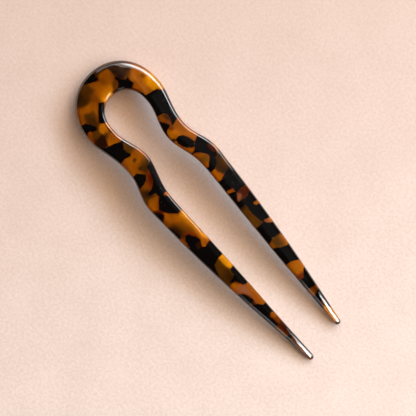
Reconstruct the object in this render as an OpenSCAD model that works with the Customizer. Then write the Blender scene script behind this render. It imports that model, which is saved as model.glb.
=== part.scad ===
// French hair pin: one piece of polished acetate sheet, sawn to a U, rounded all
// over and bent to an arch. It lies on its underside, with the bow at -X, the
// tips of its two legs at +X and the fuller leg at -Y. All lengths are in millimetres.

/* [Whole pin] */
// Length from the outer end of the bow to the tip of the fuller leg
pin_length = 126; // [100:1:160]
// How much sooner the slimmer leg ends
leg_shortfall = 3.2; // [0:0.2:8]
// Thickness of the sheet
sheet_t = 4; // [2.8:0.1:5.5]
// Radius of the rounded edges
edge_r = 1.4; // [0.4:0.1:1.9]
// How much the faces swell between their rounded edges
crown = 0.15; // [0:0.05:0.4]

/* [Bow] */
// Distance from the outer end of the bow to its widest point
bow_depth = 19.25; // [15:0.25:24]
// Distance from the middle of the pin to the middle of the stock, where the bow is widest
bow_reach = 11.75; // [10:0.25:18]
// Width of the stock at the outer end of the bow
bow_w = 11.5; // [7:0.1:13]
// How square the curve of the bow is, where 2 is an ellipse
bow_squareness = 2.15; // [2:0.05:2.5]

/* [Waist] */
// Distance from the outer end of the bow to the waist
waist_at = 35.5; // [31:0.1:42]
// Length of the waist
waist_length = 29.5; // [20:0.5:32]
// How far the legs dip towards each other at the waist
waist_dip = 3.05; // [0:0.05:4.5]

/* [Legs] */
// Width of the fuller leg where it is widest
full_leg_w = 9; // [5:0.1:11]
// Width of the slimmer leg where it is widest
slim_leg_w = 8; // [5:0.1:11]
// Distance from the middle of the pin to the middle of each tip
tip_reach = 7.55; // [4:0.05:14]
// Width of each leg at its tip
tip_w = 2.3; // [1.6:0.1:4]
// Thickness of each leg at its tip
tip_t = 2.4; // [1.6:0.1:4]

/* [Arch] */
// Height of the arch under the legs
arch_rise = 6; // [0:0.1:9]
// Distance from the outer end of the bow to the top of the arch
arch_at = 36; // [30:1:75]

/* [Hidden] */

// Sections in a quarter of the bow, down a leg and round a tip, and facets of an edge
bow_steps = 16;
leg_steps = 44;
tip_steps = 3;
edge_steps = 3;

// The middle of the waist and half its length, as shares of the leg
leg_run = pin_length - bow_depth;
waist_mid = (waist_at - bow_depth) / leg_run;
waist_half = waist_length / 2 / leg_run;
// The side of the waist towards the bow ends where the bow does
bow_side_half = min(waist_half, waist_mid);

// Where the legs begin to close in towards their tips, and how gently
close_from = waist_mid + 1.11 * waist_half;
close_power = 1.2;
// How fast the stock narrows round the bow
bow_taper = 1.3;
// Largest rounding of a section, as a share of its half width or half thickness
roundest = 0.94;

// How the stock thins down a leg, from the widest point of the bow to the tip. The rows
// beside the waist keep their places in it, and those below it their shares of the rest.
// The other shares run from 1, the named width or thickness, to 0, the size at the tip.
function below_waist(share) = mix(close_from, 1, share);
ALONG = 0;
FULL = 1;
SLIM = 2;
THICK = 3;
TAPER = [
    // along, full leg, slim leg, thickness
    [0, 0.98, 0.96, 1.00],
    [waist_mid - 0.64 * bow_side_half, 0.85, 0.83, 1.00],
    [waist_mid - 0.09 * bow_side_half, 0.99, 0.92, 1.00],
    [waist_mid + 0.31 * waist_half, 0.95, 0.96, 1.00],
    [waist_mid + 0.78 * waist_half, 0.99, 1.00, 1.00],
    [below_waist(0.05), 0.92, 0.92, 1.00],
    [below_waist(0.21), 0.85, 0.88, 0.98],
    [below_waist(0.39), 0.72, 0.77, 0.90],
    [below_waist(0.58), 0.52, 0.61, 0.74],
    [below_waist(0.76), 0.28, 0.36, 0.46],
    [1, 0.00, 0.00, 0.00],
];

// The two legs: side of the pin, column of TAPER, width of the stock and length
LEGS = [
    [1, SLIM, slim_leg_w, pin_length - leg_shortfall],
    [-1, FULL, full_leg_w, pin_length],
];

function mix(a, b, share) = a + (b - a) * share;

// Smooth curve through one column of a table, with the slope at each row taken
// from the rows beside it
function slope(table, col, i) =
    let (low = max(i - 1, 0))
    let (high = min(i + 1, len(table) - 1))
    (table[high][col] - table[low][col]) / (table[high][ALONG] - table[low][ALONG]);
function row_before(table, q) =
    max([for (i = [0:len(table) - 2]) if (i == 0 || table[i][ALONG] <= q) i]);
function smooth(table, col, q) =
    let (i = row_before(table, q))
    let (run = table[i + 1][ALONG] - table[i][ALONG])
    let (s = (q - table[i][ALONG]) / run)
    table[i][col] * (2 * s * s * s - 3 * s * s + 1)
        + table[i + 1][col] * (3 * s * s - 2 * s * s * s)
        + slope(table, col, i) * run * (s * s * s - 2 * s * s + s)
        + slope(table, col, i + 1) * run * (s * s * s - s * s);

// Height of the underside above the ground, at a distance from the outer end of the bow
function underside(x) =
    let (run = x < arch_at ? arch_at : pin_length - arch_at)
    arch_rise * (1 - pow((x - arch_at) / run, 2));

// Distance from the middle of the pin to the middle of a leg, q of the way down it
function leg_spread(q) =
    let (closing = max(q - close_from, 0) / (1 - close_from))
    mix(bow_reach, tip_reach, pow(closing, close_power));
function waist(q) =
    let (off = (q - waist_mid) / (q < waist_mid ? bow_side_half : waist_half))
    abs(off) < 1 ? waist_dip * pow(cos(90 * off), 2) : 0;

// A station is [x, y, direction to the outer side, half width, half thickness,
// height of the middle of the stock above its underside]
function bow_station(leg, a) =
    let (power = 2 / bow_squareness)
    let (run = bow_depth - bow_w / 2)
    let (x = bow_depth - run * pow(cos(a), power))
    let (back = pow(cos(a), 2 - power) / run)
    let (aside = pow(sin(a), 2 - power) / bow_reach)
    let (leg_start_w = mix(tip_w, leg[2], TAPER[0][leg[1]]))
    [
        x,
        leg[0] * bow_reach * pow(sin(a), power),
        atan2(leg[0] * aside, -back),
        mix(leg_start_w, bow_w, pow(cos(a), bow_taper)) / 2,
        sheet_t / 2,
        sheet_t / 2
    ];
function leg_station(leg, q) =
    let (x = mix(bow_depth, leg[3] - tip_w / 2, q))
    let (half_t = mix(tip_t, sheet_t, smooth(TAPER, THICK, q)) / 2)
    [
        x,
        leg[0] * (leg_spread(q) - waist(q)),
        leg[0] * 90,
        mix(tip_w, leg[2], smooth(TAPER, leg[1], q)) / 2,
        half_t,
        half_t
    ];
// Round the tip each station shrinks, and the last one is a point
function tip_station(leg, a) =
    let (end = leg_station(leg, 1))
    [end[0] + sin(a) * tip_w / 2, end[1], end[2], end[3] * cos(a), end[4] * cos(a), end[5]];

// From the bow's outer end to the tip of one leg
function half_pin(leg) = concat(
    [for (i = [1:bow_steps]) bow_station(leg, 90 * i / bow_steps)],
    [for (i = [1:leg_steps]) leg_station(leg, i / leg_steps)],
    [for (i = [1:tip_steps]) tip_station(leg, 90 * i / (tip_steps + 1))]
);
function reversed(list) = [for (i = [len(list) - 1:-1:0]) list[i]];
stations = concat(
    reversed(half_pin(LEGS[0])),
    [bow_station(LEGS[1], 0)],
    half_pin(LEGS[1])
);

// Outline of a section, from the middle of the upper face towards the inner side:
// [distance to the outer side, height above the middle of the stock]
CORNERS = [[-1, 1, 90], [-1, -1, 180], [1, -1, 270], [1, 1, 0]];
function corner(c, hw, ht, r) = [
    for (k = [0:edge_steps])
        let (a = c[2] + 90 * k / edge_steps)
        [c[0] * (hw - r) + r * cos(a), c[1] * (ht - r) + r * sin(a)]
];
function swell(hw, ht, r) = ht + crown * (hw - r) / (full_leg_w / 2);
function section(hw, ht) =
    let (r = min(edge_r, roundest * hw, roundest * ht))
    let (rise = swell(hw, ht, r))
    concat(
        [[0, rise]],
        corner(CORNERS[0], hw, ht, r),
        corner(CORNERS[1], hw, ht, r),
        [[0, -rise]],
        corner(CORNERS[2], hw, ht, r),
        corner(CORNERS[3], hw, ht, r)
    );
// Lifts a point of the flat pin onto the arch
function bent(x, y, height) = [x, y, underside(x) + height];
function ring(s) = [
    for (p = section(s[3], s[4]))
        bent(s[0] + p[0] * cos(s[2]), s[1] + p[0] * sin(s[2]), s[5] + p[1])
];
function tip_point(leg) =
    let (end = tip_station(leg, 90))
    bent(end[0], end[1], end[5]);

sides = 4 * (edge_steps + 1) + 2;
rings = len(stations);
body_points = [for (s = stations) each ring(s)];
tips = [tip_point(LEGS[0]), tip_point(LEGS[1])];

// The origin is under the middle of the pin, on the plane that it rests on
xs = [for (p = concat(body_points, tips)) p[0]];
ys = [for (p = concat(body_points, tips)) p[1]];
zs = [for (p = concat(body_points, tips)) p[2]];
middle = [(min(xs) + max(xs)) / 2, (min(ys) + max(ys)) / 2, min(zs)];

wall_faces = [
    for (i = [0:rings - 2])
        for (j = [0:sides - 1])
            let (k = (j + 1) % sides)
            [i * sides + j, i * sides + k, (i + 1) * sides + k, (i + 1) * sides + j]
];
tip_faces = [
    for (j = [0:sides - 1])
        let (k = (j + 1) % sides)
        let (last = (rings - 1) * sides)
        each [[k, j, rings * sides], [last + j, last + k, rings * sides + 1]]
];

module pin() {
    color([0.36, 0.19, 0.05])
    translate(-middle)
    polyhedron(points = concat(body_points, tips), faces = concat(wall_faces, tip_faces));
}

pin();
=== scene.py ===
import math

import bmesh
import bpy
import numpy as np
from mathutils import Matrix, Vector, noise


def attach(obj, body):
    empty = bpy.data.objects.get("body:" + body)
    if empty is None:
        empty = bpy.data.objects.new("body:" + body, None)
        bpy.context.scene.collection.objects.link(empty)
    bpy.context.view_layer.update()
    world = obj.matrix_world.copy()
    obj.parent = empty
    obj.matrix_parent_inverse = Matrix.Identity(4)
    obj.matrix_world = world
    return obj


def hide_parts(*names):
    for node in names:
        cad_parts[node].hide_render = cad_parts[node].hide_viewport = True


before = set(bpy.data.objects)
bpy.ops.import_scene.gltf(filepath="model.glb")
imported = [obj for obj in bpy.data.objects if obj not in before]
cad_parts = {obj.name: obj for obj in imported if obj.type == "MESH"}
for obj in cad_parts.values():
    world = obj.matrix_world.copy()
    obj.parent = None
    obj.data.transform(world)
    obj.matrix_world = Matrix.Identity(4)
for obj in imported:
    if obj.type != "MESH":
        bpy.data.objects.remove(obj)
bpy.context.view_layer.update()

# The pin is one piece of acetate sheet 4 mm thick, sawn to a U with a broad bow, a waist and two
# tapered legs, rounded on all its edges, polished and bent to an arch. It is built flat, as a row
# of rounded plates from tip to tip round the bow, bridged into one skin and lifted onto the arch.
pin_length = 0.126
sheet_thick = 0.004
arch_rise = 0.006
arch_at = 0.036

# The rounding of the legs' edges, of the bow's outer edge and of its hole's edge, how much
# further the bow's outer one reaches across than down, the largest rounding as a share of half
# a plate's width or thickness, and the swell of a face as wide as the fuller leg
edge_round = 0.0014
bow_round = 0.0018
hole_round = 0.0011
bow_softness = 1.35
roundest = 0.94
crown = 0.00005

# The bow's depth to its widest point, its stock's distance from the pin's middle there, the
# stock's width at its outer end, how square its curve is and how fast its stock narrows
bow_depth = 0.01925
bow_reach = 0.01175
bow_wide = 0.0115
bow_squareness = 2.15
bow_taper = 1.3

# The waist's distance from the bow's outer end, its length and how far it dips inwards
waist_at = 0.0355
waist_long = 0.0295
waist_dip = 0.00305

# The legs' widths, how much sooner the slimmer one ends, and their tips' distance from the
# pin's middle, width and thickness
full_leg_wide = 0.009
slim_leg_wide = 0.008
leg_shortfall = 0.0032
tip_reach = 0.00755
tip_wide = 0.0023
tip_thick = 0.0024

# How many plates there are in a quarter of the bow, down a leg and round a tip, how far round
# the tip the last one is, and how the corners and sides of a plate are divided
bow_plates = 20
leg_plates = 64
tip_plates = 5
last_tip_turn = math.radians(80)
corner_segments = 4
face_cuts = 3
wall_cuts = 1

# Shares of a leg's run, from the widest point of the bow to the middle of its tip. The legs
# close in towards their tips from just past the waist, slowly at first.
leg_run = pin_length - bow_depth
waist_mid = (waist_at - bow_depth) / leg_run
waist_half = waist_long / 2 / leg_run
just_past = 1.11
close_from = waist_mid + just_past * waist_half
close_power = 1.2
below_waist = 1 - close_from

# How the stock thins down a leg: share of the run, then the fuller leg's width, the slimmer
# leg's width and the thickness, each as a share of the way from its size at the tip, 0, to
# its full size, 1
taper_at = [
    0,
    waist_mid * 0.36,
    waist_mid * 0.91,
    waist_mid + waist_half * 0.31,
    waist_mid + waist_half * 0.78,
    close_from + below_waist * 0.05,
    close_from + below_waist * 0.21,
    close_from + below_waist * 0.39,
    close_from + below_waist * 0.58,
    close_from + below_waist * 0.76,
    1,
]
full_taper = [0.98, 0.85, 0.99, 0.95, 0.99, 0.92, 0.85, 0.72, 0.52, 0.28, 0]
slim_taper = [0.96, 0.83, 0.92, 0.96, 1.00, 0.92, 0.88, 0.77, 0.61, 0.36, 0]
thick_taper = [1, 1, 1, 1, 1, 1, 0.98, 0.90, 0.74, 0.46, 0]


def between(start, end, share):
    return start + (end - start) * share


def eased(heights, share):
    """The smooth curve through a column of the taper, at a share of the leg's run."""
    last = len(taper_at) - 1
    i = max([k for k in range(last) if taper_at[k] <= share], default=0)
    run = taper_at[i + 1] - taper_at[i]
    s = (share - taper_at[i]) / run
    rise = heights[i + 1] - heights[i]
    leave = slope_at(heights, i) * run
    arrive = slope_at(heights, i + 1) * run
    bulge = 3 * rise - 2 * leave - arrive
    return heights[i] + s * (leave + s * (bulge + s * (leave + arrive - 2 * rise)))


def slope_at(heights, i):
    before = max(i - 1, 0)
    after = min(i + 1, len(heights) - 1)
    return (heights[after] - heights[before]) / (taper_at[after] - taper_at[before])


def bow_plate(side, leg_wide, taper, angle):
    """A plate of the bow: x, y, turn, half its width and thickness, height, the rounding of
    its outer and inner corners, and how much further the outer one reaches across than down."""
    run = bow_depth - bow_wide / 2
    power = 2 / bow_squareness
    x = bow_depth - run * math.cos(angle) ** power
    y = side * bow_reach * math.sin(angle) ** power
    turn = math.atan2(
        side * math.sin(angle) ** (2 - power) / bow_reach,
        -math.cos(angle) ** (2 - power) / run,
    )
    leg_start = between(tip_wide, leg_wide, taper[0])
    wide = between(leg_start, bow_wide, math.cos(angle) ** bow_taper)
    inner = between(bow_round, hole_round, math.sin(angle))
    return x, y, turn, wide / 2, sheet_thick / 2, sheet_thick / 2, bow_round, inner, bow_softness


def leg_plate(side, leg_wide, taper, length, share):
    """A plate of a leg, at a share of its run, with the same values as a plate of the bow."""
    x = between(bow_depth, length - tip_wide / 2, share)
    closing = max(share - close_from, 0) / (1 - close_from)
    spread = between(bow_reach, tip_reach, closing ** close_power)
    off = (share - waist_mid) / (waist_mid if share < waist_mid else waist_half)
    dip = waist_dip * math.cos(math.pi / 2 * off) ** 2 if abs(off) < 1 else 0
    half_thick = between(tip_thick, sheet_thick, eased(thick_taper, share)) / 2
    half_wide = between(tip_wide, leg_wide, eased(taper, share)) / 2
    past_bow = min(share / waist_mid, 1)
    most = roundest * min(half_wide, half_thick)
    outer = min(between(bow_round, edge_round, past_bow), most)
    inner = min(between(hole_round, edge_round, share), most)
    softness = between(bow_softness, 1, past_bow)
    y = side * (spread - dip)
    return x, y, side * math.pi / 2, half_wide, half_thick, half_thick, outer, inner, softness


def half_of_the_pin(side, leg_wide, taper, length):
    """The plates from beside the bow's outer end to the tip of one leg."""
    plates = [
        bow_plate(side, leg_wide, taper, math.pi / 2 * k / bow_plates)
        for k in range(1, bow_plates + 1)
    ]
    plates += [
        leg_plate(side, leg_wide, taper, length, k / leg_plates)
        for k in range(1, leg_plates + 1)
    ]
    x, y, turn, half_wide, half_thick, z, outer, inner, softness = plates[-1]
    for k in range(1, tip_plates + 1):
        angle = last_tip_turn * k / tip_plates
        shrink = math.cos(angle)
        further = math.sin(angle) * tip_wide / 2
        size = (half_wide * shrink, half_thick * shrink)
        rounding = (outer * shrink, inner * shrink, softness)
        plates.append((x + further, y, turn, *size, z, *rounding))
    return plates


slim_half = half_of_the_pin(1, slim_leg_wide, slim_taper, pin_length - leg_shortfall)
full_half = half_of_the_pin(-1, full_leg_wide, full_taper, pin_length)
bow_middle = bow_plate(-1, full_leg_wide, full_taper, 0)
plates = slim_half[::-1] + [bow_middle] + full_half

# The frame's origin is under the middle of the pin
slim_reach = max(y + half_wide * math.sin(turn) for x, y, turn, half_wide, *rest in slim_half)
full_reach = max(-y - half_wide * math.sin(turn) for x, y, turn, half_wide, *rest in full_half)
to_frame = Vector((-pin_length / 2, (full_reach - slim_reach) / 2, 0))

bpy.ops.object.select_all(action="DESELECT")
pin_mesh = bpy.data.meshes.new("tortoiseshell_pin")
pin = bpy.data.objects.new("tortoiseshell_pin", pin_mesh)
bpy.context.collection.objects.link(pin)
bpy.context.view_layer.objects.active = pin
pin.select_set(True)
bpy.ops.object.mode_set(mode="EDIT")


def pick(wanted):
    """Selects the points in sight that are wanted, and the edges between two of them."""
    shape = bmesh.from_edit_mesh(pin_mesh)
    bpy.ops.mesh.select_all(action="DESELECT")
    for point in shape.verts:
        if not point.hide and wanted(point.co):
            point.select = True
    shape.select_flush(True)
    bmesh.update_edit_mesh(pin_mesh)


def add_plate(x, y, turn, half_wide, half_thick, z, outer, inner, softness):
    """Lays one rounded rectangle across the stock, as a closed line of 28 points."""
    at_origin = (0, 0, 0)
    tiny = 0.00001
    flat = half_wide - (outer * softness + inner) / 2
    flat_middle = (inner - outer * softness) / 2
    bpy.ops.mesh.primitive_plane_add(size=2, rotation=(math.pi / 2, 0, 0))
    bpy.ops.transform.resize(value=(half_wide, 1, half_thick), center_override=at_origin)
    pick(lambda co: co.x > 0)
    bpy.ops.mesh.bevel(offset=outer, segments=corner_segments, affect="VERTICES")
    pick(lambda co: co.x > 0)
    bpy.ops.transform.resize(value=(softness, 1, 1), center_override=(half_wide, 0, 0))
    pick(lambda co: co.x < tiny - half_wide)
    bpy.ops.mesh.bevel(offset=inner, segments=corner_segments, affect="VERTICES")
    bpy.ops.mesh.select_all(action="SELECT")
    bpy.ops.mesh.delete(type="ONLY_FACE")
    for face_side in (1, -1):
        pick(lambda co: face_side * co.z > half_thick - tiny)
        bpy.ops.mesh.subdivide(number_cuts=face_cuts)
        pick(lambda co: face_side * co.x > half_wide - tiny)
        bpy.ops.mesh.subdivide(number_cuts=wall_cuts)

    # A face has three points between its corners, and they rise as a parabola does: the middle
    # one in full, and the two beside it by three quarters
    rise = crown * flat / (full_leg_wide / 2)
    side_rise = 0.75 * rise
    raised = 1 + side_rise / half_thick
    pick(lambda co: abs(co.x - flat_middle) < flat * 0.6 and abs(co.z) > half_thick - tiny)
    bpy.ops.transform.resize(value=(1, 1, raised), center_override=at_origin)
    raised = (half_thick + rise) / (half_thick + side_rise)
    pick(lambda co: abs(co.x - flat_middle) < flat * 0.1)
    bpy.ops.transform.resize(value=(1, 1, raised), center_override=at_origin)

    bpy.ops.mesh.select_all(action="SELECT")
    bpy.ops.transform.rotate(value=-turn, orient_axis="Z", center_override=at_origin)
    bpy.ops.transform.translate(value=Vector((x, y, z)) + to_frame)
    bpy.ops.mesh.hide()


for plate in plates:
    add_plate(*plate)
bpy.ops.mesh.reveal(select=True)
bpy.ops.mesh.bridge_edge_loops()
bpy.ops.mesh.select_all(action="SELECT")
bpy.ops.mesh.fill_holes(sides=0)
bpy.ops.mesh.select_all(action="SELECT")
bpy.ops.mesh.normals_make_consistent(inside=False)
bpy.ops.object.mode_set(mode="OBJECT")

# The arch is 0 at the bow's outer end and at the tips, and 1 at its top
lift = pin.vertex_groups.new(name="arch")
for point in pin_mesh.vertices:
    from_bow = point.co.x + pin_length / 2
    arch_run = arch_at if from_bow < arch_at else pin_length - arch_at
    lift.add([point.index], 1 - ((from_bow - arch_at) / arch_run) ** 2, "REPLACE")
arched = pin.modifiers.new("arched", "DISPLACE")
arched.direction = "Z"
arched.mid_level = 0
arched.strength = arch_rise
arched.vertex_group = "arch"
bpy.ops.object.modifier_apply(modifier="arched")
rounded = pin.modifiers.new("rounded", "SUBSURF")
rounded.levels = 2
rounded.render_levels = 2
bpy.ops.object.modifier_apply(modifier="rounded")
bpy.ops.object.mode_set(mode="EDIT")
bpy.ops.mesh.select_all(action="SELECT")
lowest = min(point.co.z for point in pin_mesh.vertices)
bpy.ops.transform.translate(value=(0, 0, -lowest))
bpy.ops.object.mode_set(mode="OBJECT")
bpy.ops.object.shade_smooth()

# Each chip is a few corners on a chart of squares, which is read from straight above,
# along the pin and across it towards the fuller leg. A square has its size at the chart's
# height, and the chart lies a little askew on the pin.
square = 0.0003463
eye_height = 0.432
chart_height = 0.0038
chart_along = -0.04766
chart_across = 0.00016
bow_end = -44
across_offset = 2.5
across_slew = 0.007


def seen(red, green, blue):
    """A colour as the eye reads it, from 0 to 255, as amounts of light."""
    return [
        value / 255 / 12.92 if value < 11 else ((value / 255 + 0.055) / 1.055) ** 2.4
        for value in (red, green, blue)
    ]


# Tortoiseshell acetate is pressed from cut chips of amber, olive, oxblood and black sheet. The
# black chips are opaque and sharp where they reach the surface. The others are clear, so those
# that lie deeper show with soft edges.
tones = {
    "honey": seen(227, 156, 4),
    "light amber": seen(193, 119, 0),
    "amber": seen(165, 93, 0),
    "deep amber": seen(139, 76, 0),
    "orange": seen(174, 95, 0),
    # The tan is amber with a painted sheen in it
    "tan": seen(190, 116, 36),
    "rosy": seen(152, 92, 56),
    "khaki": seen(118, 80, 16),
    "olive": seen(82, 50, 4),
    "dark olive": seen(56, 34, 3),
    "smoke": seen(58, 46, 36),
    "umber": seen(84, 42, 2),
    "rust": seen(116, 42, 2),
    "oxblood": seen(72, 16, 0),
    "maroon": seen(20, 6, 1),
    "soot": seen(26, 22, 18),
    "black": seen(6, 5, 5),
}

# Buried chips, with a few patches of painted sheen and painted light among them: tone, how far its edge
# is blurred, and its corners
bow_buried = [
    ("amber", 3, [(-20, -50), (16, -50), (12, -36), (-4, -30), (-20, -33)]),
    ("light amber", 3, [(-14, -50), (14, -50), (12, -37), (0, -33), (-8, -38)]),
    ("honey", 2.2, [(-4, -50), (20, -50), (14, -42), (11.5, -37), (2, -37), (-4, -40)]),
    ("umber", 2.4, [(-9, -39.5), (-5.5, -40), (-5, -36.5), (-8.5, -36)]),
    ("tan", 4.5, [(-19, -35), (-6, -35), (0, -34), (11, -34), (10, -28), (-2, -28), (-12, -29)]),
    ("deep amber", 2.5, [(-10, -29), (10, -29), (4, -25), (-4, -22)]),
    ("orange", 2, [(-5, -27), (0, -28), (3, -26), (-3, -22.5), (-6, -24)]),
    ("maroon", 5, [(-26, -38), (-20, -38), (-19, -30), (-26, -30)]),
    ("smoke", 5, [(-37, -36), (-20, -33), (-16, -26), (-20, -18), (-36, -16), (-40, -24)]),
    ("soot", 3, [(-42, -15), (-38, -23), (-33, -30), (-24, -37), (-22, -33), (-30, -26), (-36, -17)]),
    ("soot", 2, [(-27, -33), (-22, -33), (-22, -29), (-27, -29)]),
    ("soot", 3, [(-37, -21), (-28, -23), (-18, -24), (-16, -16), (-22, -15), (-30, -17), (-37, -17)]),
    ("dark olive", 3, [(-47, -16), (-36, -16), (-34, -8), (-34, -3), (-47, -1)]),
    ("soot", 2, [(-48, -16), (-43, -16), (-42.5, 0), (-48, 0)]),
    ("amber", 2, [(-35, -16), (-25, -17), (-14, -12), (-14, 12), (-30, 12), (-36, 4), (-33, -3),
                  (-36, -9)]),
    ("deep amber", 4, [(-34, -16), (-24, -16), (-20, -8), (-25, 0), (-32, -2), (-35, -9)]),
    # These two patches are amber painted brighter towards the hole's wall: painted light, where light
    # shines through the wall
    ("light amber", 5, [(-22, -9), (-14, -6), (-13, 8), (-17, 11), (-24, 3)]),
    ("honey", 3, [(-17, -6), (-10, -6), (-8, 8), (-15, 9)]),
    ("amber", 4, [(-33, 2), (-25, -3), (-21, 4), (-18, 12), (-27, 12), (-34, 8)]),
    ("olive", 2, [(-22, -15.5), (-17, -14), (-14, -10), (-16, -8), (-22, -10)]),
    ("olive", 5, [(-40, 9), (-35, 7), (-27, 7), (-25, 12), (-26, 20), (-35, 21), (-41, 16)]),
    ("deep amber", 3, [(-26, 11), (-14, 9), (-13, 16), (-20, 19), (-26, 17)]),
    ("dark olive", 5, [(-37, 18), (-24, 16), (-20, 22), (-22, 30), (-28, 33), (-35, 27)]),
    ("amber", 2, [(-21, 17), (-14, 13), (-7, 20), (-10, 24), (-14, 29), (-16, 34), (-23, 31),
                  (-21, 24)]),
    ("amber", 1.6, [(-25, 32), (-15, 30), (-8, 36), (-8.5, 48), (-17, 48), (-27, 35)]),
    ("olive", 2.5, [(-13, 21), (-2, 25), (4, 29), (1, 33), (-7, 36), (-16, 31), (-14, 26)]),
    ("dark olive", 3, [(-7, 25), (0, 26), (2, 31), (-4, 34), (-9, 30)]),
    ("olive", 2.5, [(3, 28), (12, 30), (11, 36), (11, 41), (4, 40), (2, 33)]),
    ("orange", 1.6, [(4, 40.5), (12, 42), (15, 46), (5, 48)]),
    ("light amber", 1, [(2, 22), (5, 17), (14, 17), (13, 24), (16, 28), (11, 30), (6.5, 31),
                        (3.5, 28)]),
    ("amber", 1, [(14, 17), (30, 17), (27, 25), (24, 33.5), (22, 33.5), (15, 28.5)]),
    ("olive", 2, [(11.5, 27), (14, 24), (18, 29), (16, 31.5), (12, 31)]),
    ("maroon", 1.6, [(10.5, 31), (14, 29.5), (23.5, 34), (20, 50), (14, 46), (11, 40)]),
]
full_leg_buried = [
    ("amber", 2, [(30, 8), (68, 8), (68, 22), (60, 44), (42, 44), (40, 24)]),
    ("olive", 5, [(56, 8), (70, 8), (72, 24), (60, 26), (56, 18)]),
    ("dark olive", 4, [(60, 8), (72, 8), (72, 25), (63, 24)]),
    ("dark olive", 0.8, [(49.5, 22), (53, 21.5), (53.5, 25.5), (50, 25.5)]),
    ("dark olive", 0.8, [(59.5, 22.5), (63, 22), (63, 26), (60, 26)]),
    ("rust", 2, [(70, 18), (81, 21), (85, 28), (83, 33), (78, 33), (74, 27), (69, 24)]),
    ("oxblood", 3, [(70, 19), (79, 20), (82, 26), (76, 25)]),
    ("deep amber", 2, [(76, 29), (83, 31), (83, 38), (78, 42), (75, 35)]),
    ("olive", 3, [(82, 34), (90, 30), (95, 30), (97, 38), (96, 48), (84, 46), (79, 38)]),
    ("soot", 3, [(83, 34), (90, 33), (89, 39), (85, 39)]),
    ("amber", 2.5, [(93, 31), (96, 30), (104, 40), (103, 50), (96, 50), (92, 38)]),
    ("light amber", 1.2, [(93, 12), (123, 12), (119, 23), (99, 23), (96, 25)]),
    ("amber", 2, [(117, 14), (164, 14), (164, 30), (141, 33), (134, 50), (116, 50), (108, 38)]),
    ("honey", 4.5, [(120, 14), (160, 14), (158, 23), (140, 24), (123, 26)]),
    ("olive", 6, [(124, 36), (132, 31), (142, 27), (144, 36), (138, 42), (123, 41)]),
    ("maroon", 5, [(126, 38), (134, 35), (142, 36), (141, 44), (124, 44)]),
    ("deep amber", 2, [(117, 38), (124, 37), (124, 50), (116, 50)]),
    ("rust", 3, [(139, 33), (143, 28), (149, 25), (156, 25), (158, 30), (147, 32), (141, 36)]),
    ("orange", 2, [(141, 50), (141, 42), (144, 39.5), (147, 40), (150, 43), (150, 50)]),
    ("orange", 2, [(155, 22), (162, 20), (163.5, 26), (162, 30), (157, 29)]),
    # This honey patch is amber with a painted highlight in it, where a lamp reflects on the rounded
    # edge
    ("honey", 1.4, [(179, 12), (195, 12), (196, 23), (193, 25), (180, 25.5)]),
    ("olive", 2, [(180, 25.5), (194, 25), (206, 24), (209, 33), (211, 42), (183, 42)]),
    ("dark olive", 4, [(194, 26), (206, 25), (208, 33), (198, 33)]),
    ("maroon", 2.4, [(203, 24), (208, 24), (209, 33), (205, 32)]),
    ("olive", 2, [(195, 34), (210, 33), (212, 42), (196, 42)]),
    ("amber", 1.4, [(207.5, 26), (213, 26), (217, 24.5), (221, 33), (222, 40), (210, 40)]),
    ("umber", 2, [(208, 25), (213, 25), (213, 28.5), (208.5, 29)]),
    # This rosy patch is amber with a painted reflection, a pale haze, over it
    ("rosy", 2.2, [(216, 22), (226, 23), (240, 25), (240, 29), (226, 29), (221, 34), (217, 35),
                   (215, 28)]),
    ("amber", 2, [(216, 12), (244, 12), (244, 21.5), (239, 26), (231, 25), (219, 22.5)]),
    ("light amber", 3, [(228, 12), (241, 12), (241, 20), (229, 20)]),
    ("orange", 3, [(230, 20), (243, 19), (243, 23), (237, 26), (231, 25)]),
    ("umber", 1.4, [(235, 27.5), (239, 27.5), (238.5, 40), (235, 40)]),
    ("maroon", 2, [(234.5, 29), (240, 29), (240, 31.5), (235, 31.5)]),
    ("amber", 1.6, [(255, 12), (266, 12), (264, 22), (261, 25.5), (257, 25.5), (255, 21.5)]),
    ("rust", 2, [(262, 15), (268, 15), (266, 25), (262, 25)]),
    ("oxblood", 3, [(268, 20), (284, 20), (285, 26), (270, 27)]),
    ("khaki", 2, [(269, 27), (275, 25.5), (283, 25), (284, 32), (268, 34)]),
    ("umber", 2.5, [(289, 21.5), (297, 21), (297, 25.5), (289, 25.5)]),
    ("deep amber", 2.5, [(302, 21.5), (316, 21), (317, 24), (311, 27), (302, 25.5)]),
]
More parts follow.
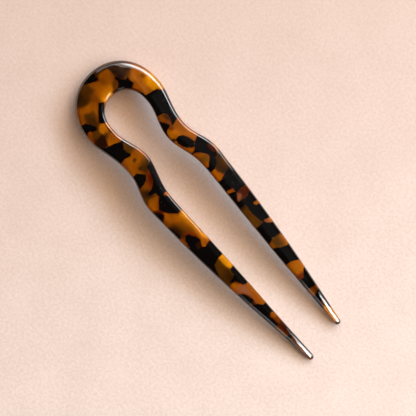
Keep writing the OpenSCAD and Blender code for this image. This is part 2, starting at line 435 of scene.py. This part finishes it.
slim_leg_buried = [
    ("amber", 2, [(46, -48), (78, -48), (80, -24), (84, -12), (46, -12)]),
    # A tan patch of painted sheen on the amber
    ("tan", 4, [(59, -42), (76, -42), (77, -34), (64, -32)]),
    ("light amber", 4, [(51, -27), (60, -29), (61, -12), (54, -12)]),
    ("rust", 2, [(48.5, -28.5), (54, -27.5), (54, -25), (50, -22)]),
    ("orange", 2, [(62, -22), (78, -22), (79, -31), (83, -31), (86, -20), (84, -12), (62, -12)]),
    ("light amber", 2, [(80, -50), (99, -50), (99, -44), (84, -43)]),
    ("amber", 2, [(84, -28), (96, -36.5), (106, -28), (105, -18), (84, -18)]),
    ("khaki", 3, [(93, -28), (95, -35), (100, -35), (102, -30), (99, -26), (93, -26)]),
    ("orange", 1.4, [(101, -30.5), (105.5, -28.5), (104, -26), (101, -27)]),
    ("dark olive", 2, [(99, -50), (122, -50), (122, -33), (112, -29), (106, -35)]),
    ("olive", 3, [(103, -48), (117, -48), (117, -41), (106, -41)]),
    ("soot", 4, [(97, -50), (103, -50), (109, -34), (104, -34)]),
    ("soot", 4, [(116, -50), (125, -50), (125, -33), (119, -35)]),
    ("orange", 1.8, [(109, -31.5), (115, -31), (121.5, -35), (125, -29), (127, -18), (109, -18)]),
    ("oxblood", 2.4, [(124, -25), (132, -27.5), (137, -31), (139, -30), (139, -18), (126, -18)]),
    ("orange", 1.2, [(136.5, -32), (141.5, -32), (140, -27), (139, -18), (134, -18), (136, -27)]),
    ("oxblood", 2.4, [(141, -50), (151, -50), (153, -38), (152, -29), (142, -32), (142, -42)]),
    ("deep amber", 2, [(140.5, -50), (149, -50), (149, -43.5), (142, -43.5)]),
    ("rosy", 1.4, [(143, -31.5), (145, -33.8), (149, -34), (150.5, -30), (152, -26.5), (149, -26.5)]),
    ("amber", 1.6, [(161, -50), (167, -50), (166, -38), (163, -36.5), (160.5, -38), (162, -41)]),
    ("olive", 3, [(157, -30.5), (170, -29.5), (182, -33), (184, -31), (184, -16), (157, -16)]),
    ("khaki", 4, [(160, -25), (182, -25), (182, -16), (160, -16)]),
    ("amber", 3, [(158, -21), (182, -21), (182, -16), (158, -16)]),
    ("soot", 3, [(155, -31), (159.5, -31), (161, -16), (155, -16)]),
    ("tan", 1.4, [(181, -48), (190, -48), (189, -38), (187, -36), (184, -33.5), (181, -34)]),
    ("light amber", 2.4, [(183, -48), (190, -48), (189, -39), (183, -39)]),
    ("rosy", 2, [(180, -38), (188, -39), (188, -33), (180, -33)]),
    ("khaki", 1.6, [(200, -46), (218, -46), (216, -35), (212, -25), (210, -14), (203, -14),
                    (200, -28)]),
    ("amber", 3, [(202, -46), (217, -46), (215, -35), (204, -35)]),
    ("olive", 3, [(202, -33), (213, -33), (210, -26), (202, -26)]),
    ("amber", 2, [(203, -24), (210, -24), (209, -16), (203, -16)]),
    ("amber", 1.6, [(228, -44), (246, -44), (253, -27), (252, -12), (227, -12), (230, -30)]),
    ("light amber", 5, [(236, -31), (243, -31), (246, -24), (244, -18), (236, -18)]),
    ("rust", 2.4, [(246, -30), (252, -27), (252, -12), (245, -12)]),
    ("rust", 2, [(226, -27), (231, -28), (232, -12), (226, -12)]),
    ("umber", 2, [(262, -30), (270, -30), (275, -22), (275, -12), (261, -12)]),
    ("deep amber", 3, [(263, -25), (271, -24), (272, -14), (263, -14)]),
    ("orange", 1.4, [(264, -36), (269, -36), (269, -30), (264, -30)]),
    ("umber", 3, [(279, -27), (289, -27), (290, -21), (280, -21)]),
    ("honey", 1.4, [(286, -26), (299, -25), (307, -24), (306, -14), (286, -14)]),
    ("honey", 1.4, [(289, -34), (305, -30), (305, -26), (290, -27)]),
]

# Surface chips, in the order that they cover each other: tone and corners
bow_surface = [
    ("black", [(20, -52), (17, -43.8), (12, -40.5), (11.5, -35), (10, -28.5), (5, -27), (2.5, -25.5),
               (5, -18), (36, -14), (50, -28.5), (48, -37), (48, -50)]),
    ("deep amber", [(35, -29.5), (38, -31.7), (42, -31.5), (49.5, -28), (39.5, -21.5), (38, -16),
                    (33, -16), (34, -24)]),
    ("umber", [(35.5, -29.5), (38, -31.5), (42, -31.3), (46, -29.5), (41, -27), (36, -26)]),
    ("black", [(39, -21), (48.5, -27), (50, -22), (52, -19.5), (59, -17), (59, -10), (40, -10),
               (36, -17)]),
    ("black", [(-16.5, -27.5), (-14, -26), (-7.5, -27), (-4.5, -22), (-8, -18), (-8, -4), (-14.5, -5.5),
               (-14, -12), (-17, -15.5), (-20.5, -17), (-23, -15.5), (-25, -17), (-18, -20),
               (-15.5, -24)]),
    ("oxblood", [(-5, -22.5), (-1, -25), (3, -26.7), (4, -23.5), (-3, -20.5)]),
    ("umber", [(-9, -18.5), (-3, -21.5), (4, -23.5), (4, -14), (-8, -10)]),
    ("black", [(-50, -2), (-36, -3.5), (-32, -2), (-34, 2), (-36, 6), (-38, 11), (-43, 12), (-50, 10)]),
    ("black", [(-50, -16), (-41.8, -16), (-41.3, -2), (-50, 2)]),
    ("black", [(-50, 8), (-39.8, 11), (-36, 20.5), (-30.5, 27.5), (-25, 33.5), (-32, 42), (-50, 30)]),
    ("black", [(-12, 7.8), (-14.8, 11.5), (-14.8, 13), (-7, 20), (0, 25.5), (3.5, 21.5), (5, 17),
               (-2, 15.5), (-6.5, 12.5)]),
    ("black", [(-8, 36), (-2, 32), (2, 30.5), (4, 31), (3, 36), (2, 43), (6, 50), (-10, 50), (-9, 42)]),
    ("orange", [(0.6, 38), (2.4, 36.8), (4.2, 38.4), (3.8, 41), (2.2, 42.4), (0.8, 41)]),
    ("oxblood", [(3, 20.5), (15.5, 21.5), (14.5, 24), (10, 22.8)]),
    ("maroon", [(11.5, 32), (14.5, 30.5), (22.8, 34.2), (21, 40), (19, 46), (15, 44), (12, 41)]),
    ("black", [(28, 12), (34, 12), (45.7, 24.3), (44, 30), (45, 37), (46, 50), (16, 50), (18, 44),
               (22, 38), (24.5, 32.5), (26, 27), (28, 22)]),
    ("olive", [(34, 8), (43, 8), (43, 23), (36, 24.4), (31, 20.5)]),
]
full_leg_surface = [
    ("black", [(70, 24.8), (74, 28), (76.3, 33), (76.9, 37.5), (77, 44), (66, 44), (63.5, 34.5),
               (62, 31), (65, 28)]),
    ("black", [(63.5, 6), (95, 10), (95.5, 22.5), (97, 25), (94.5, 29), (90, 29), (89, 33), (88, 36),
               (85.5, 35.5), (84.5, 30), (82, 26), (78, 21.5), (70, 20), (65, 18.5), (63.5, 15)]),
    ("black", [(101, 21.5), (104, 20.5), (118, 20.5), (119.5, 23), (120.8, 26.5), (116, 31), (110, 36),
               (105, 38), (100, 34), (95, 29), (97, 25)]),
    ("oxblood", [(102, 50), (103, 42), (105.5, 38.8), (109, 36.6), (113, 37.6), (117.5, 42),
                 (120, 50)]),
    ("black", [(105.3, 50), (106.5, 42), (109.5, 39), (112.5, 39), (116.5, 43), (118, 50)]),
    ("black", [(124, 50), (124.5, 42), (129, 41), (137, 40), (140.5, 39.5), (139, 50)]),
    ("black", [(142, 35), (143, 32), (147, 30), (150, 27.3), (153, 26.5), (157, 28), (162, 31),
               (162, 38), (158, 38), (152, 40), (149, 38.5), (146, 38.5), (144, 37)]),
    ("black", [(161.2, 10), (180, 10), (180, 25), (182, 30), (183, 33), (188, 35), (195, 36.5),
               (195, 50), (153, 50), (153, 41), (158, 36), (161.5, 30), (163.3, 27), (161.7, 22)]),
    ("maroon", [(154, 28.5), (158, 29.5), (161, 31.5), (160.5, 34.5), (155, 34)]),
    ("black", [(194.5, 10), (217.5, 10), (217.5, 22), (216, 25), (211, 26.5), (209, 28), (208, 32.5),
               (206, 31), (205, 27), (204, 25), (196, 24), (196, 21)]),
    ("black", [(195, 36.6), (211, 35), (211, 44), (195, 44)]),
    ("black", [(220.5, 42), (221, 34), (224, 30), (228, 28.3), (235, 27), (235.5, 33), (235, 42)]),
    ("black", [(242.5, 10), (256, 10), (256.5, 20), (255.5, 22), (258.5, 25.5), (270, 24), (270, 29),
               (275, 40), (238, 42), (238.5, 31), (240, 26.5), (244.5, 22)]),
    ("black", [(266, 10), (322, 10), (322, 22), (304, 21), (289, 21), (285, 22), (268, 20)]),
    ("black", [(284, 22), (289, 21), (289, 25.5), (304, 25.5), (310, 27), (300, 34), (283, 34)]),
]
slim_leg_surface = [
    ("black", [(64, -29.5), (70, -32), (76.3, -34.2), (79.8, -31), (80, -29), (77, -25), (73, -22),
               (68, -20.5), (63.5, -21), (62.3, -23), (62, -26)]),
    ("maroon", [(59.5, -17.5), (61.5, -21.3), (64, -21.3), (64.8, -12), (59, -12)]),
    ("black", [(73.5, -50), (74, -40), (76.5, -34.5), (80, -31), (82.5, -29.5), (84, -25), (84, -18),
               (85.5, -18), (85, -25), (86, -28), (91, -33), (96, -35.6), (99, -35), (101.5, -31),
               (105, -28.5), (105.5, -18), (110, -18), (110.6, -31), (108, -36), (103, -39),
               (100.5, -43), (96, -45), (84, -45.5), (82, -50)]),
    ("oxblood", [(86, -43), (93, -44.3), (98, -43.5), (97, -41.5), (93, -40.3), (88, -41)]),
    ("black", [(119, -52), (119.5, -40), (121.5, -33.5), (123.6, -29), (123, -26), (126, -12),
               (134, -12), (135.5, -26), (136.8, -31.5), (141.3, -31.5), (139, -25), (139, -12),
               (157, -12), (157.5, -30.5), (170, -29.5), (177, -30.7), (183, -33), (183, -12),
               (203.5, -12), (203, -25), (201, -28.5), (202, -35), (203, -50), (189, -50), (188.8, -39),
               (187, -36.3), (184, -34), (181.5, -34), (183, -39.5), (183, -50), (166, -50),
               (165.8, -39), (163.5, -37), (161, -38), (162.5, -41), (162, -50), (149, -50),
               (150.5, -42), (152.7, -38), (152, -31), (151.5, -26.8), (149, -26.8), (143, -31.5),
               (142, -38), (142.5, -42), (141, -50)]),
    ("black", [(216, -50), (215.5, -35), (213.5, -30), (211, -26), (209.5, -23), (209, -12), (229, -12),
               (230, -20), (230.5, -27), (233, -32), (235.5, -36), (235, -50)]),
    ("black", [(242, -50), (242.5, -35), (244, -32), (248, -29), (251.3, -26), (251, -22), (249, -18),
               (250, -12), (262, -12), (263, -22), (264, -29.5), (265, -32), (265, -50)]),
    ("black", [(268.5, -50), (268.5, -31), (270, -28), (273, -19), (273, -12), (287, -12),
               (287.5, -20.5), (280, -22), (280, -25.8), (288.5, -25.2), (291, -27), (290, -50)]),
    ("soot", [(305, -34), (305, -26), (307.5, -23.5), (304, -20), (304, -12), (316, -12), (316, -34)]),
]


def distance_to(corners, along, across):
    """Distance outside a chip's straight sides, in squares, and less than 0 inside them."""
    nearest = np.full(len(along), np.inf)
    inside = np.zeros(len(along), bool)
    for (x1, y1), (x2, y2) in zip(corners, corners[1:] + corners[:1]):
        run, rise = x2 - x1, y2 - y1
        share = np.clip(((along - x1) * run + (across - y1) * rise) / (run ** 2 + rise ** 2), 0, 1)
        nearest = np.minimum(nearest, np.hypot(along - x1 - share * run, across - y1 - share * rise))
        if rise:
            crosses = (y1 > across) != (y2 > across)
            inside ^= crosses & (along < x1 + (across - y1) / rise * run)
    return np.where(inside, -nearest, nearest)


def cover(distance, blur):
    """1 inside an edge and 0 outside it, eased over the blur."""
    share = np.clip(0.5 - distance / blur, 0, 1)
    return share * share * (3 - 2 * share)


# The depth of each point below the upper face, in millimetres
points = np.array([point.co for point in pin_mesh.vertices])
from_bow = points[:, 0] + pin_length / 2
arch_run = np.where(from_bow < arch_at, arch_at, pin_length - arch_at)
thinned = np.interp((from_bow - bow_depth) / leg_run, taper_at, thick_taper)
underside = arch_rise * (1 - ((from_bow - arch_at) / arch_run) ** 2)
top = underside + between(tip_thick, sheet_thick, thinned)
depth = np.clip((top - points[:, 2]) * 1000, 0, sheet_thick * 1000)

# The chips' edges wander by part of a square, and the chips lean with depth. The seed makes
# them the same each time.
wander = 0.7
wander_length = 0.004
lean = 1.1
lean_length = 0.012
elsewhere = Vector((7, 3, 5))
wander_seed = 1
noise.seed_set(wander_seed)
drift = np.array([noise.noise_vector(Vector(point) / wander_length) for point in points])
slant = np.array([noise.noise_vector(Vector(point) / lean_length + elsewhere) for point in points])

nearer = (eye_height - chart_height) / (eye_height - points[:, 2])
along = (points[:, 0] * nearer - chart_along) / square
across = -(points[:, 1] * nearer - chart_across) / square
across = across - across_offset + across_slew * (along - bow_end)
along += wander * drift[:, 0] + depth * lean * slant[:, 0]
across += wander * drift[:, 1] + depth * lean * slant[:, 1]

# The widths of the chips' edges, in squares, how far beyond its sides a chip that lies over a
# black one is painted, and a distance at which no black chip is near
buried_edge = 1.7
surface_edge = 1.2
overlap = 1.5
no_black_near = 9.0
paint = np.tile(tones["deep amber"], (len(points), 1))
black_edge = np.full(len(points), no_black_near)
for tone, blur, corners in bow_buried + full_leg_buried + slim_leg_buried:
    share = cover(distance_to(corners, along, across), buried_edge * blur)[:, None]
    paint = paint * (1 - share) + np.array(tones[tone]) * share
for tone, corners in bow_surface + full_leg_surface + slim_leg_surface:
    distance = distance_to(corners, along, across)
    if tone == "black":
        black_edge = np.minimum(black_edge, distance)
    else:
        over_black = (black_edge < 0) & (distance < overlap)
        share = np.maximum(cover(distance, surface_edge), over_black)[:, None]
        paint = paint * (1 - share) + np.array(tones[tone]) * share
        black_edge = np.maximum(black_edge, -distance)

paint_layer = pin_mesh.color_attributes.new("tortoiseshell", "FLOAT_COLOR", "POINT")
paint_layer.data.foreach_set("color", np.column_stack([paint, np.ones(len(paint))]).ravel())
edge_layer = pin_mesh.attributes.new("black_edge", "FLOAT", "POINT")
edge_layer.data.foreach_set("value", black_edge)


class Wire:
    """An output of a material's node, which adds Math nodes when a sum is worked out with it."""

    def __init__(self, tree, socket=None):
        self.tree = tree
        self.socket = socket

    def node(self, kind, settings=None, values=None, output=0):
        made = self.tree.nodes.new("ShaderNode" + kind)
        for name, setting in (settings or {}).items():
            setattr(made, name, setting)
        for name, value in (values or {}).items():
            if isinstance(value, Wire):
                self.tree.links.new(value.socket, made.inputs[name])
            else:
                made.inputs[name].default_value = value
        return Wire(self.tree, made.outputs[output] if made.outputs else None)

    def maths(self, operation, first, second):
        return self.node("Math", {"operation": operation}, {0: first, 1: second})

    def __add__(self, other):
        return self.maths("ADD", self, other)

    def __sub__(self, other):
        return self.maths("SUBTRACT", self, other)

    def __rsub__(self, other):
        return self.maths("SUBTRACT", other, self)

    def __mul__(self, other):
        return self.maths("MULTIPLY", self, other)

    __radd__ = __add__
    __rmul__ = __mul__


def new_material(name):
    material = bpy.data.materials.new(name)
    material.use_nodes = True
    material.node_tree.nodes.clear()
    return material, Wire(material.node_tree)


def eased_step(wire, value, start, end):
    """0 where the value is at start, 1 where it is at end, and eased between them."""
    return wire.node(
        "MapRange",
        {"interpolation_type": "SMOOTHSTEP"},
        {"Value": value, "From Min": start, "From Max": end},
    )


def mixed(wire, share, first, second, blend="MIX"):
    """The first colour, and the given share of the second blended into it."""
    settings = {"data_type": "RGBA", "blend_type": blend}
    return wire.node("Mix", settings, {0: share, 6: first, 7: second}, output=2)


def noise_on(wire, place, scale, detail=2.0, roughness=0.5):
    """Noise from 0 to 1, with the given number of its swells to the metre."""
    values = {"Vector": place, "Scale": scale, "Detail": detail, "Roughness": roughness}
    return wire.node("TexNoise", values=values)


acetate, wire = new_material("tortoiseshell_acetate")
place = wire.node("TexCoord", output=3)
chips = wire.node("Attribute", {"attribute_name": "tortoiseshell"})
edge = wire.node("Attribute", {"attribute_name": "black_edge"}, output=2)

# The clear chips are clouded, and in places redder and darker beside the black ones
cloud_shade = (0.4, 0.35, 0.2, 1)
rim_shade = (0.45, 0.2, 0.1, 1)
clouds = eased_step(wire, noise_on(wire, place, 260, 3.0), 0.62, 0.38)
clouded = mixed(wire, clouds * 0.45, chips, cloud_shade, "MULTIPLY")
wobbly_edge = edge + (noise_on(wire, place, 900) - 0.5) * 0.9
rim = eased_step(wire, wobbly_edge, 2.2, 0.2)
rim_places = eased_step(wire, noise_on(wire, place, 150), 0.42, 0.6)
rimmed = mixed(wire, rim * rim_places * 0.8, clouded, rim_shade, "MULTIPLY")

# The black chips have a little dust on them in places
dust_grey = (0.09, 0.085, 0.08, 1)
specks = wire.node("TexVoronoi", values={"Vector": place, "Scale": 800})
dusty_places = eased_step(wire, noise_on(wire, place, 130), 0.5, 0.62)
dust = eased_step(wire, specks, 0.16, 0.08) * dusty_places
black = mixed(wire, dust * 0.5, (*tones["black"], 1), dust_grey)
in_black = eased_step(wire, wobbly_edge, 0.35, -0.35)
chipped = mixed(wire, in_black, rimmed, black)

# Shade is painted into the stock's colour where its edges turn down to the walls, darkening them
painted_wall_shade = (0.4, 0.3, 0.2, 1)
upright = wire.node("SeparateXYZ", values={0: wire.node("NewGeometry", output=1)}, output=2)
turned_down = eased_step(wire, upright, 0.85, 0.4)
coloured = mixed(wire, turned_down * 0.6, chipped, painted_wall_shade, "MULTIPLY")

# The polish ripples faintly and has fine scratches, which run aslant along the pin
scratch_turn = (0, 0, 0.6)
scratch_scale = (60, 900, 900)
scratch_values = {"Vector": place, "Rotation": scratch_turn, "Scale": scratch_scale}
scratch_map = wire.node("Mapping", values=scratch_values)
scratches = eased_step(wire, noise_on(wire, scratch_map, 1.0, 4.0, 0.7), 0.58, 0.75)
relief = noise_on(wire, place, 220, 1.0) + scratches * -0.1
surface = wire.node("Bump", values={"Strength": 0.05, "Distance": 0.00005, "Height": relief})
shader = wire.node(
    "BsdfPrincipled",
    values={
        "Base Color": coloured,
        "Roughness": scratches * 0.08 + 0.02,
        "IOR": 1.6,
        "Specular IOR Level": 1.0,
        "Subsurface Weight": 0.5,
        "Subsurface Radius": (1.0, 0.6, 0.2),
        "Subsurface Scale": 0.0015,
        "Normal": surface,
    },
)

# A little light comes through the clear chips
amber_glow = (1.0, 0.55, 0.18, 1)
through = wire.node("BsdfTranslucent", values={"Color": amber_glow})
glowing = wire.node("MixShader", values={0: (1 - in_black) * 0.15, 1: shader, 2: through})
wire.node("OutputMaterial", values={"Surface": glowing})
pin_mesh.materials.append(acetate)

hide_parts("pin")
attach(pin, "root")

# The pin lies on a sheet of pale peach paper with a fine grain and a faint mottle, far wider
# than the picture. A falloff of the light is painted into its colour: it is palest beyond the
# tips, on the fuller leg's side.
floor_side = 6
bpy.ops.object.select_all(action="DESELECT")
bpy.ops.mesh.primitive_plane_add(size=floor_side)
floor = bpy.context.object
floor.name = "paper_floor"
paper, wire = new_material("peach_paper")
place = wire.node("TexCoord", output=3)
grain = noise_on(wire, place, 1000, 3.0, 0.7)
mottle = noise_on(wire, place, 60, 2.0)
# The paper's colour is painted paler one way and darker the other, as a painted falloff of light
paper_in_painted_shade = (0.69, 0.6, 0.59, 1)
paper_in_painted_light = (0.9, 0.88, 0.915, 1)
fleck_brown = (0.45, 0.34, 0.29, 1)
painted_light_reach = 0.14
towards_tips = wire.node("SeparateXYZ", values={0: place}, output=0)
towards_slim_leg = wire.node("SeparateXYZ", values={0: place}, output=1)
painted_light_way = towards_tips * 0.8 - towards_slim_leg * 0.6
painted_light_share = eased_step(wire, painted_light_way, -painted_light_reach, painted_light_reach)
paper_with_painted_falloff = mixed(wire, painted_light_share, paper_in_painted_shade, paper_in_painted_light)
flecks = eased_step(wire, grain * 0.75 + mottle * 0.25, 0.3, 0.7)
tint = mixed(wire, flecks * 0.3, paper_with_painted_falloff, fleck_brown)
surface = wire.node("Bump", values={"Strength": 0.5, "Distance": 0.0001, "Height": grain})
shader = wire.node(
    "BsdfPrincipled",
    values={"Base Color": tint, "Roughness": 0.9, "Specular IOR Level": 0.1, "Normal": surface},
)
wire.node("OutputMaterial", values={"Surface": shader})
floor.data.materials.append(paper)

# The light comes from soft panels on the slimmer leg's side. The fills light the pin and the paper
# but leave no highlight, and the warm ones are the glow of a pale room. The cards only show in
# the polish: at the tips, beside the bow, at its end, in its hole and on the shaded edges.
def panel(name, azimuth, elevation, distance, wide, high, brightness, warmth=0):
    """An area light turned to the pin, its sizes and place as angles seen from there. It is
    white where its warmth is 0 and amber where it is 1."""
    data = bpy.data.lights.new(name, "AREA")
    data.shape = "RECTANGLE"
    data.size = 2 * distance * math.tan(math.radians(wide / 2))
    data.size_y = 2 * distance * math.tan(math.radians(high / 2))
    data.energy = brightness * math.pi * data.size * data.size_y
    data.color = (1, 1 - 0.4 * warmth, 1 - 0.7 * warmth)
    light = bpy.data.objects.new(name, data)
    bpy.context.collection.objects.link(light)
    around = math.radians(azimuth)
    up = math.radians(elevation)
    light.location = (
        distance * math.cos(around) * math.cos(up),
        distance * math.sin(around) * math.cos(up),
        distance * math.sin(up),
    )
    light.rotation_euler = (math.pi / 2 - up, 0, around + math.pi / 2)
    return light


cool = -0.15
mild = 0.3
warm = 0.95
panel("side_panel", 105, 30, 1.8, 34, 20, 5.8, cool)
panel("bow_panel", 145, 36, 1.8, 38, 28, 1.7, mild)
panel("top_lamp", 92, 59, 1.0, 16, 4, 1.5)
panel("hole_card", 13, 55, 1.0, 22, 7, 70).visible_diffuse = False
panel("tip_card", 31, 21, 0.118, 9, 22, 20).visible_diffuse = False
panel("bow_card", 140, 27, 1.7, 34, 24, 5).visible_diffuse = False
panel("bow_halo", 131, 28, 1.7, 42, 32, 2.2).visible_diffuse = False
panel("end_card", 161, 18, 1.7, 32, 18, 1.3).visible_diffuse = False
panel("far_card", -50, 45, 1.5, 16, 4, 6).visible_diffuse = False
panel("tip_fill", 38, 28, 1.2, 36, 18, 7, cool).visible_glossy = False
panel("low_fill", 75, 30, 1.5, 40, 16, 5.1, cool).visible_glossy = False
panel("near_fill", 28, 52, 1.5, 40, 14, 5, warm).visible_glossy = False
panel("middle_fill", 90, 46, 1.5, 40, 12, 3.8, warm).visible_glossy = False
panel("high_fill", 135, 61, 1.5, 50, 14, 2.1, warm).visible_glossy = False
panel("top_fill", 90, 85, 1.5, 30, 30, 1.6, warm).visible_glossy = False

# The faint sheen on the upper faces is a panel overhead, which begins above the slimmer leg
sheen_starts = 0.01
sheen = panel("sheen_panel", 90, 90, 0.55, 50, 36, 0.045)
sheen.location.y = sheen.data.size_y / 2 + sheen_starts

room = bpy.data.worlds.new("room")
room.use_nodes = True
background = room.node_tree.nodes["Background"]
background.inputs["Color"].default_value = (1, 0.7, 0.55, 1)
background.inputs["Strength"].default_value = 0.015
bpy.context.scene.world = room
bpy.context.scene.view_settings.view_transform = "Standard"

# The camera looks straight down from the height that the chart is read from, turned so that
# the bow is at the upper left of the picture and the tips are at the lower right.
camera_turn = math.radians(48.97)
camera_data = bpy.data.cameras.new("camera")
camera_data.lens = 107
camera_data.clip_start = 0.01
camera = bpy.data.objects.new("camera", camera_data)
bpy.context.collection.objects.link(camera)
camera.location = (-0.00063, -0.00021, eye_height)
camera.rotation_euler = (0, 0, camera_turn)
bpy.context.scene.camera = camera
